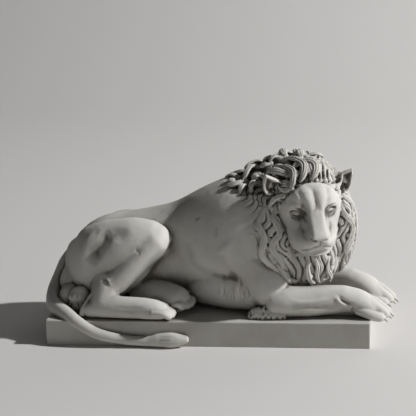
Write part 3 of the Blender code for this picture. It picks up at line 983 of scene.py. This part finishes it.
def split(tree, line):
    """The two strands that lie side by side in a lock."""
    last = len(line) - 1
    for side in (-0.5, 0.5):
        strand = []
        for k, (place, normal) in enumerate(line):
            ahead = (line[min(k + 1, last)][0] - line[max(k - 1, 0)][0]).normalized()
            narrow = min(1, 0.25 + k / 8, 0.25 + (last - k) / 8)
            beside = place + normal.cross(ahead) * side * STRANDS_APART * narrow
            strand.append(tree.find_nearest(beside)[0])
        yield strand


class Mane:
    """The hair: curls laid on the crown, ribbons at the sides, and combed locks pressed between them."""

    def __init__(self, clay, skin, chance):
        seeds = [Vector(p) for p in skin.places[::40] if in_mane(Vector(p))]
        chance.shuffle(seeds)
        laid = shaped_locks(clay, skin.tree)
        shaped = np.array([tuple(p) for line in laid for p in line])
        lines = Combing(skin.tree, CURLS_APART, on_crown).comb(seeds)
        laid += crown_curls(clay, open_parts(lines, shaped), chance)
        lines = Combing(skin.tree, LOCKS_APART, in_mane).comb(seeds)
        sides = [line for line in lines if below_crown(line[len(line) // 2][0])]
        laid += ribbons(clay, open_parts(sides, shaped), chance)
        self.laid = Partings(laid)
        self.locks = Partings([[place for place, _ in line] for line in lines])
        self.strands = Partings([strand for line in lines for strand in split(skin.tree, line)])

    def relief(self, spot):
        """How far the carving raises the skin at a place."""
        across, gap = self.laid.measure(spot, 20)
        if gap < LAID_REACH:
            return -0.8 * across**2.2
        if not in_mane(spot):
            return 0.0
        across, gap = self.locks.measure(spot, 26)
        if gap > COMBED_REACH:
            return 0.0
        fine, _ = self.strands.measure(spot, 14)
        level = -1.1 if crownness(spot) else 0.5 + 0.6 * noise.noise(spot * 0.12)
        return level - 1.5 * across**2 - 0.6 * fine**1.6

    def comb(self, skin):
        for index, place in enumerate(skin.places):
            spot = Vector(place)
            if spot.x < MANE_REAR or spot.z < FOREARM_TOP - 4:
                continue
            rise = self.relief(spot)
            if rise:
                skin.places[index] += skin.normals[index] * rise * fading(spot)
        skin.write()


def open_parts(lines, covered):
    """The runs of each line that keep clear of the locks that already lie there."""
    parts = []
    for line in lines:
        run = []
        for place, normal in line:
            if ((covered - np.array(place)) ** 2).sum(axis=1).min() > LOCK_CLEARANCE**2:
                run.append((place, normal))
            else:
                parts.append(run)
                run = []
        parts.append(run)
    return [run for run in parts if len(run) > 2]


def elbow_tuft(clay):
    """A ruffle of short pointed curls where the elbow rests on the plinth."""
    chance = random.Random(SEED + 1)
    clay.ball((38, -34.5, 2.2), (12.5, 4.6, 4.8))
    for row, count in ((0, 13), (1, 11)):
        for i in range(count):
            x = 27.2 + row * 1.8 + i * 1.75
            front = -34.5 - 4.4 * math.sqrt(1 - ((x - 38) / 13.5) ** 2) + 0.7 * row
            z = 4.6 - 0.05 * (i - count / 2) ** 2 + row * 2 + chance.uniform(-0.5, 0.5)
            way = chance.uniform(-0.9, 0.9)
            curl = (
                (x, front + 1.2, z + 0.8, 0.6, 0.6),
                (x - 0.8 * way, front - 0.1, z - 0.4, 1, 0.9),
                (x + 0.6 * way, front - 0.5, z - 2, 0.95, 0.8),
                (x + 0.9 * way, front - 0.3, z - 3.6 + chance.uniform(-0.4, 0.4), 0.5, 0.5),
            )
            clay.sweep(curl, sides=10, steps=6)


# The body's creases and muscle edges: path, width, and height, which is negative where it is pressed in.
MARKS = (
    # Haunch and thigh.
    (((-59, -34, 57), (-63, -36, 54.5), (-67, -38, 48), (-71, -38, 40), (-74.5, -36, 31)), 6.5, -1.9),
    (((-63, -36, 55), (-56, -36, 56), (-47, -38, 53)), 6, -0.9),
    (((-70, -30, 57), (-76, -30, 49), (-79.5, -32, 40), (-76.5, -34, 31)), 5, 1.1),
    (((-41, -38, 46), (-42, -38, 43.4), (-40.4, -38, 41.6), (-42.4, -38, 38)), 0.7, -0.25),
    (((-62.4, -38, 26.4), (-60, -38, 24.2), (-58, -38, 20)), 1.3, 0.55),
    (((-66, -38, 25.6), (-62, -38, 24), (-60, -38, 20.6)), 1.5, -0.7),
    # Hind foot.
    (((-58, -45, 9.5), (-46, -45.6, 9), (-36, -46, 9)), 1.6, -0.3),
    (((-56, -44, 5), (-44, -45.4, 4), (-36, -46, 4.4)), 1.8, 0.3),
    # Near wrist and forearm.
    (((81, -36, 15.5), (83.6, -37.6, 12.4), (87, -38, 10.4), (90.4, -38, 9.4)), 1.6, -1.0),
    (((89.6, -38, 9.5), (89.2, -38, 6), (87, -38, 3)), 1.4, -0.6),
    (((79, -36, 14.5), (82, -38, 11), (86, -38, 8.4)), 1.8, 0.6),
    (((50, -41, 12), (64, -39.6, 12.2), (78, -37, 14)), 2.4, 0.5),
    (((50, -41, 8.5), (64, -39.6, 8.2), (80, -37.6, 8)), 2.2, -0.5),
    (((54, -40.6, 5), (68, -39, 4.6), (84, -37, 5)), 2.2, 0.4),
    # Flank and shoulder.
    (((-19, -30, 52), (-15.3, -32, 40), (-11, -33, 31), (-3, -35, 26), (10, -36, 23.6), (24, -36, 26)),
        5, -0.7),
    (((6, -32, 57), (6.6, -32, 53.4), (6, -32, 50)), 1.6, -0.4),
)


def carve(skin):
    """The body's marks, four lines on the tail's tuft, and short fur on the belly by the elbow."""
    for path, width, height in MARKS:
        skin.stroke(path, width, height)
    for i, drop in enumerate((0, 1.9, 3.9, 5.8)):
        root = (-31 + i, -50, -9 - 0.6 * drop)
        bow = (-24, -51, -7.4 - 1.25 * drop)
        tip = (-13 - 2.2 * abs(i - 1.5), -50, -9.2 - 0.5 * drop)
        skin.stroke((root, bow, tip), 0.9, -0.3)
    chance = random.Random(SEED + 3)
    for i in range(13):
        x = 7 + 1.7 * i + chance.uniform(-0.4, 0.4)
        top = 24 - 0.14 * (i - 6) ** 2 + chance.uniform(-2.5, 2)
        low = 5 + 0.1 * (i - 6) ** 2 + chance.uniform(-1, 3)
        sway = chance.uniform(0.3, 0.8)
        phase = chance.uniform(0, 6)
        fur = [(x + sway * math.sin(1.3 * k + phase), -36, top + (low - top) * k / 6) for k in range(7)]
        skin.stroke(fur, chance.uniform(0.9, 1.4), chance.choice((-0.5, -0.4, 0.35)))
    skin.write()


def uneven(skin):
    """Gives the smooth body the faint undulations of a hand-worked model."""
    for index, place in enumerate(skin.places):
        spot = Vector(place)
        rise = 0.2 * noise.noise(spot * 0.09) + 0.09 * noise.noise(spot * 0.31)
        skin.places[index] += skin.normals[index] * rise
    skin.write()


def drop_crumbs(thing):
    """Deletes the specks that fusing leaves apart from the cast."""
    mesh = bmesh.new()
    mesh.from_mesh(thing.data)
    waiting = set(mesh.verts)
    shells = []
    while waiting:
        edge = [waiting.pop()]
        shell = set(edge)
        while edge:
            near = edge.pop()
            beside = {link.other_vert(near) for link in near.link_edges} & waiting
            waiting -= beside
            shell |= beside
            edge += beside
        shells.append(shell)
    crumbs = set(mesh.verts) - max(shells, key=len)
    bmesh.ops.delete(mesh, geom=list(crumbs), context="VERTS")
    mesh.to_mesh(thing.data)
    mesh.free()
    thing.data.validate()


def lion():
    """The whole figure in figure units, then set on the plinth at its real size."""
    chance = random.Random(SEED)
    body = Clay()
    legs = (near_foreleg, far_foreleg, near_hind_leg, far_hind_leg)
    for form in (torso, *legs, mane_bulk, skull):
        form(body)
    base = fused("base", body, BODY_VOXEL, BODY_SMOOTHING)
    carving = Clay()
    carving.mesh.from_mesh(base.data)
    for detail in (tail, hock_tuft, elbow_tuft, face_block, ears):
        detail(carving)
    forepaw_toes(carving, Matrix.Translation((92, -28.4, 0)))
    forepaw_toes(carving, Matrix.Translation((95.4, 4.4, -0.8)) @ Matrix.Rotation(math.radians(-7), 4, "Z"))
    hind_toes(carving, Vector((-32, -39.8, 6)), Vector((-19.5, -40.4, 3.4)), 4.4)
    hind_toes(carving, Vector((-20, -25.6, 7.4)), Vector((-11, -29.2, 5.2)), 5.2)
    mane = Mane(carving, Skin(base), chance)
    bpy.data.objects.remove(base)
    figure = fused("lion", carving, CARVING_VOXEL, CARVING_SMOOTHING)
    skin = Skin(figure)
    mane.comb(skin)
    carve(skin)
    uneven(skin)
    triangles = sum(len(p.vertices) - 2 for p in figure.data.polygons)
    thin = figure.modifiers.new("thin", "DECIMATE")
    thin.ratio = LION_TRIANGLES / triangles
    apply_modifiers(figure)
    drop_crumbs(figure)
    figure.data.transform(Matrix.Translation((0, 0, PLINTH_HEIGHT)) @ Matrix.Scale(UNIT, 4))
    figure.data.shade_smooth()
    return figure


def spaced(length, fine):
    """Positions along an edge in metres: close together at its ends, and even between them."""
    half = length / 2
    ends = [half - step for step in fine]
    count = int(2 * ends[-1] / PLINTH_GRID)
    inner = [ends[-1] * (2 * k / count - 1) for k in range(1, count)]
    return sorted([-e for e in ends] + inner + ends)


def plinth():
    """A slab whose edges and corners are worn unevenly, with a few small chips."""
    size = Vector((PLINTH_LENGTH, PLINTH_DEPTH, PLINTH_HEIGHT))
    fine = [k * PLINTH_EDGE * 0.6 for k in range(6)]
    cuts = [spaced(length, fine) for length in size]
    mesh = bmesh.new()
    for axis in range(3):
        first, second = cuts[(axis + 1) % 3], cuts[(axis + 2) % 3]
        for end in (-1, 1):
            rows = []
            for u in first:
                row = []
                for v in second:
                    place = Vector()
                    place[axis], place[(axis + 1) % 3], place[(axis + 2) % 3] = end * size[axis] / 2, u, v
                    row.append(mesh.verts.new(worn(place, size / 2)))
                rows.append(row)
            for near, far in zip(rows, rows[1:]):
                for k in range(len(second) - 1):
                    loop = (near[k], far[k], far[k + 1], near[k + 1])
                    mesh.faces.new(loop if end > 0 else loop[::-1])
    bmesh.ops.remove_doubles(mesh, verts=mesh.verts[:], dist=1e-6)
    bmesh.ops.translate(mesh, verts=mesh.verts[:], vec=(0, 0, PLINTH_HEIGHT / 2))
    slab = placed("plinth", finished_mesh("plinth", mesh))
    slab.data.shade_smooth()
    return slab


def worn(place, half):
    """Where a place on the sharp slab lies once its edges are rubbed round."""
    rubbing = 1 + 0.7 * noise.noise(place * 90)
    chips = ramp(noise.noise(place * 260 + Vector((3, 5, 7))), 0.42, 0.7)
    radius = PLINTH_EDGE * (rubbing + 1.3 * chips)
    kept = Vector([max(radius - h, min(h - radius, p)) for p, h in zip(place, half)])
    out = place - kept
    return kept + out.normalized() * radius if out.length > radius else place


def mark_hollows(thing, rounds):
    """Stores how deep each place lies below its softened surroundings, for the plaster's painted shade in
    hollows and its paler ridges.
    """
    mesh = thing.data
    places = listed(mesh.vertices, "co", 3) / UNIT
    count = len(places)
    ends = listed(mesh.edges, "vertices", 2, np.int32)
    degree = np.bincount(ends.ravel(), minlength=count).astype(float)
    soft = places.copy()
    for _ in range(rounds):
        total = np.empty_like(soft)
        for axis in range(3):
            near = np.bincount(ends[:, 0], weights=soft[ends[:, 1], axis], minlength=count)
            far = np.bincount(ends[:, 1], weights=soft[ends[:, 0], axis], minlength=count)
            total[:, axis] = (near + far) / np.maximum(degree, 1)
        soft = 0.5 * soft + 0.5 * total
    normals = listed(mesh.vertex_normals, "vector", 3)
    store(mesh, "hollow", ((soft - places) * normals).sum(axis=1))


def mark_occlusion_shade(things):
    """Stores how covered each place is by the cast around it, for painted shade in the plaster's colour."""
    chance = random.Random(SEED + 4)
    ways = []
    while len(ways) < SHELTER_RAYS:
        way = Vector((chance.uniform(-1, 1), chance.uniform(-1, 1), chance.uniform(-1, 1)))
        if 0.2 < way.length < 1:
            ways.append(way.normalized())
    graph = bpy.context.evaluated_depsgraph_get()
    trees = [BVHTree.FromObject(thing, graph) for thing in things]
    reach = SHELTER_REACH * UNIT
    for thing in things:
        covered = []
        for vertex in thing.data.vertices:
            start = vertex.co + vertex.normal * SHELTER_START
            hits = 0.0
            for way in ways:
                out = (way + vertex.normal * 1.02).normalized()
                for tree in trees:
                    distance = tree.ray_cast(start, out, reach)[3]
                    if distance is not None:
                        hits += 1 - 0.6 * distance / reach
                        break
            covered.append(hits / SHELTER_RAYS)
        store(thing.data, "occlusion_shade", covered)


def linear(hex_colour):
    """An sRGB hex colour as linear red, green, blue and alpha."""
    levels = [int(hex_colour[i : i + 2], 16) / 255 for i in (1, 3, 5)]
    return [v / 12.92 if v <= 0.04045 else ((v + 0.055) / 1.055) ** 2.4 for v in levels] + [1.0]


def add_node(tree, kind, settings=None, inputs=None, links=None):
    """Adds one node with its settings, its fixed inputs and the sockets that feed it."""
    node = tree.nodes.new(kind)
    for name, value in (settings or {}).items():
        setattr(node, name, value)
    for name, value in (inputs or {}).items():
        node.inputs[name].default_value = value
    for name, socket in (links or {}).items():
        tree.links.new(socket, node.inputs[name])
    return node


# How painted shade in hollows and under cover, and paler ridges that are partly rubbing and partly a
# painted
# highlight, tint the plaster: the stored number that steers each, where it starts and where it is full, its
# strongest share and its colour.
PAINTED_SHADE_AND_RUB = (
    # Painted shade: the hollows are darkened as if shadowed.
    ("hollow", 0.04, 0.65, 0.95, "#5a564f"),
    # Painted shade: places that the cast covers are darkened as if shadowed.
    ("occlusion_shade", 0.28, 0.9, 0.6, "#57524a"),
    # Ridges and edges painted paler: partly rubbing, and partly a painted highlight.
    ("hollow", -0.08, -0.6, 0.6, "#d6d4cf"),
)


def cast_plaster():
    """Gypsum plaster from a mould: matt and chalky, with faint clouds in its grey-white.

    Painted shade darkens the hollows and the places that the cast covers, and the ridges are painted paler,
    partly as rubbing and partly as a painted highlight. The skin is faintly lumpy, air bubbles leave fine
    pinholes, and the tooth of the set gypsum is drawn about twice as coarse as life so that it shows.
    """
    material = bpy.data.materials.new("cast_gypsum_plaster")
    material.use_nodes = True
    tree = material.node_tree
    shader = tree.nodes["Principled BSDF"]
    shader.inputs["Metallic"].default_value = 0.0
    shader.inputs["IOR"].default_value = 1.52
    shader.inputs["Specular IOR Level"].default_value = 0.3
    place = {"Vector": add_node(tree, "ShaderNodeTexCoord").outputs["Object"]}
    clouds = add_node(tree, "ShaderNodeTexNoise", links=place,
        inputs={"Scale": 42.0, "Detail": 5.0, "Roughness": 0.6})
    tint = add_node(tree, "ShaderNodeValToRGB", links={"Fac": clouds.outputs["Fac"]})
    for stop, position, shade in zip(tint.color_ramp.elements, (0.3, 0.7), ("#b3b0a9", "#c4c2bd")):
        stop.position = position
        stop.color = linear(shade)
    colour = tint.outputs["Color"]
    for name, start, full, most, shade in PAINTED_SHADE_AND_RUB:
        stored = add_node(tree, "ShaderNodeAttribute", settings={"attribute_name": name})
        share = add_node(tree, "ShaderNodeMapRange", links={"Value": stored.outputs["Fac"]},
            inputs={"From Min": start, "From Max": full, "To Min": 0.0, "To Max": most})
        shade_mix = add_node(tree, "ShaderNodeMix", settings={"data_type": "RGBA"},
            inputs={7: linear(shade)}, links={0: share.outputs["Result"], 6: colour})
        colour = shade_mix.outputs[2]
    tree.links.new(colour, shader.inputs["Base Color"])
    rough = add_node(tree, "ShaderNodeMapRange", links={"Value": clouds.outputs["Fac"]},
        inputs={"From Min": 0.3, "From Max": 0.7, "To Min": 0.78, "To Max": 0.94})
    tree.links.new(rough.outputs["Result"], shader.inputs["Roughness"])
    lumps = add_node(tree, "ShaderNodeTexNoise", links=place,
        inputs={"Scale": 300.0, "Detail": 3.0, "Roughness": 0.55})
    tooth = add_node(tree, "ShaderNodeTexNoise", links=place,
        inputs={"Scale": 1400.0, "Detail": 3.0, "Roughness": 0.65})
    bubbles = add_node(tree, "ShaderNodeTexVoronoi", links=place,
        inputs={"Scale": 420.0, "Randomness": 1.0})
    pinholes = add_node(tree, "ShaderNodeMapRange", links={"Value": bubbles.outputs["Distance"]},
        inputs={"From Min": 0.0, "From Max": 0.16, "To Min": 0.0, "To Max": 1.0})
    reliefs = (
        (lumps.outputs["Fac"], 0.5, 0.0003),
        (tooth.outputs["Fac"], 0.45, 0.00015),
        (pinholes.outputs["Result"], 0.35, 0.0002),
    )
    below = {}
    for height, strength, distance in reliefs:
        bump = add_node(tree, "ShaderNodeBump", links={"Height": height, **below},
            inputs={"Strength": strength, "Distance": distance})
        below = {"Normal": bump.outputs["Normal"]}
    tree.links.new(below["Normal"], shader.inputs["Normal"])
    return material


def painted_board():
    """The matt pale sheet that the lion stands on, which sweeps up behind it."""
    material = bpy.data.materials.new("matt_painted_board")
    material.use_nodes = True
    shader = material.node_tree.nodes["Principled BSDF"]
    shader.inputs["Base Color"].default_value = linear("#d8d6d4")
    shader.inputs["Roughness"].default_value = 0.9
    shader.inputs["Specular IOR Level"].default_value = 0.2
    return material


def sweep_floor():
    """A pale floor that curves up into a backdrop."""
    front = -1.6
    rise = 1.3
    curve = 0.5
    profile = [(front, 0.0), (rise - curve, 0.0)]
    for k in range(1, 17):
        a = math.pi / 2 * k / 16
        profile.append((rise - curve + curve * math.sin(a), curve - curve * math.cos(a)))
    profile.append((rise, 2.2))
    mesh = bmesh.new()
    rows = [[mesh.verts.new((x, y, z)) for y, z in profile] for x in (-2.6, 2.6)]
    for k in range(len(profile) - 1):
        mesh.faces.new((rows[0][k], rows[1][k], rows[1][k + 1], rows[0][k + 1]))
    floor = placed("floor", finished_mesh("floor", mesh))
    floor.data.shade_smooth()
    floor.data.materials.append(painted_board())
    floor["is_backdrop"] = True


def softbox(name, way, distance, size, watts):
    """A square lamp in the direction of way from the lion, facing it."""
    lamp = bpy.data.lights.new(name, "AREA")
    lamp.size = size
    lamp.energy = watts
    thing = placed(name, lamp)
    way = Vector(way).normalized()
    thing.location = LION_MIDDLE + way * distance
    thing.rotation_mode = "QUATERNION"
    thing.rotation_quaternion = way.to_track_quat("Z", "Y")


def studio():
    """A small softbox to the right and slightly behind, like low sun, and dim light from all round."""
    softbox("key", way=(0.803, -0.028, 0.595), distance=2.5, size=0.1, watts=68)
    softbox("fill", way=(0.72, -0.66, 0.2), distance=1.6, size=1.2, watts=2.6)
    world = bpy.data.worlds.new("room")
    world.use_nodes = True
    background = world.node_tree.nodes["Background"]
    background.inputs["Color"].default_value = linear("#e8eaec")
    background.inputs["Strength"].default_value = 0.035
    bpy.context.scene.world = world
    bpy.context.scene.view_settings.view_transform = "Standard"


def camera():
    """A long lens at the photograph's angle, from a little above and slightly rolled."""
    azimuth, elevation, roll = (math.radians(angle) for angle in CAMERA_ANGLES)
    back = Vector((
        math.sin(azimuth) * math.cos(elevation),
        -math.cos(azimuth) * math.cos(elevation),
        math.sin(elevation),
    ))
    right = (-back).cross(Vector((0, 0, 1))).normalized()
    up = right.cross(-back)
    level = right * math.cos(roll) - up * math.sin(roll)
    upright = right * math.sin(roll) + up * math.cos(roll)
    lens = bpy.data.cameras.new("camera")
    lens.sensor_width = 36
    lens.lens = CAMERA_LENS
    lens.clip_start = 0.01
    thing = placed("camera", lens)
    turn = Matrix((level, upright, back)).transposed().to_4x4()
    thing.matrix_world = Matrix.Translation(CAMERA_TARGET + back * CAMERA_DISTANCE) @ turn
    bpy.context.scene.camera = thing


def main():
    plaster = cast_plaster()
    figure = lion()
    slab = plinth()
    mark_hollows(figure, FIGURE_ROUNDS)
    mark_hollows(slab, SLAB_ROUNDS)
    mark_occlusion_shade((figure, slab))
    for piece in (figure, slab):
        piece.data.materials.clear()
        piece.data.materials.append(plaster)
        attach(piece, "root")
        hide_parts("lion_on_plinth")
    sweep_floor()
    studio()
    camera()
    [[list(corner) for corner in box] for box in (cad_box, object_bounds())]


main()
